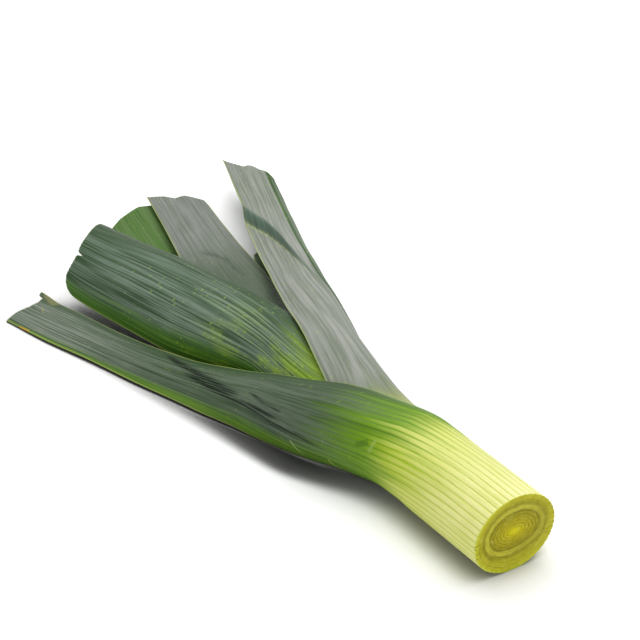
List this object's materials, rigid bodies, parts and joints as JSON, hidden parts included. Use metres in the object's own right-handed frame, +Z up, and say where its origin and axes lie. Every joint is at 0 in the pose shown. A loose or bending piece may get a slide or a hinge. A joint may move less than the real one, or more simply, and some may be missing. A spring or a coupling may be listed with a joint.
{
  "type": "leek",
  "caption": "Leafy top of a leek, cut straight across its ribbed pale shaft, with broad blue-green and grey-green strap leaves trimmed short and fanned flat over a table",
  "frame": {"origin": "On the flat underside of the shaft, level with the table, under the middle of the shaft and 35 mm behind its cut face", "axes": "+X along the shaft, out of its cut face; the leaves run towards -X and fan out to both sides in Y; +Z up, away from the table"},
  "size_m": [0.365, 0.1758, 0.0362],
  "materials": {
    "front_leaf": "waxy",
    "tall_leaf": "waxy, glaucous bloom",
    "wide_leaf": "waxy, glaucous bloom",
    "grey_leaf": "waxy, glaucous bloom",
    "shaded_leaf": "waxy",
    "low_leaf": "waxy",
    "young_leaf": "moist cut flesh",
    "heart_flesh": "moist cut flesh"
  },
  "bodies": {
    "root": {"leaf_front": "front_leaf", "leaf_tall": "tall_leaf", "leaf_wide": "wide_leaf", "leaf_grey": "grey_leaf", "leaf_shaded": "shaded_leaf", "leaf_low": "low_leaf", "leaf_young": "young_leaf", "heart": "heart_flesh"}
  },
  "joints": []
}
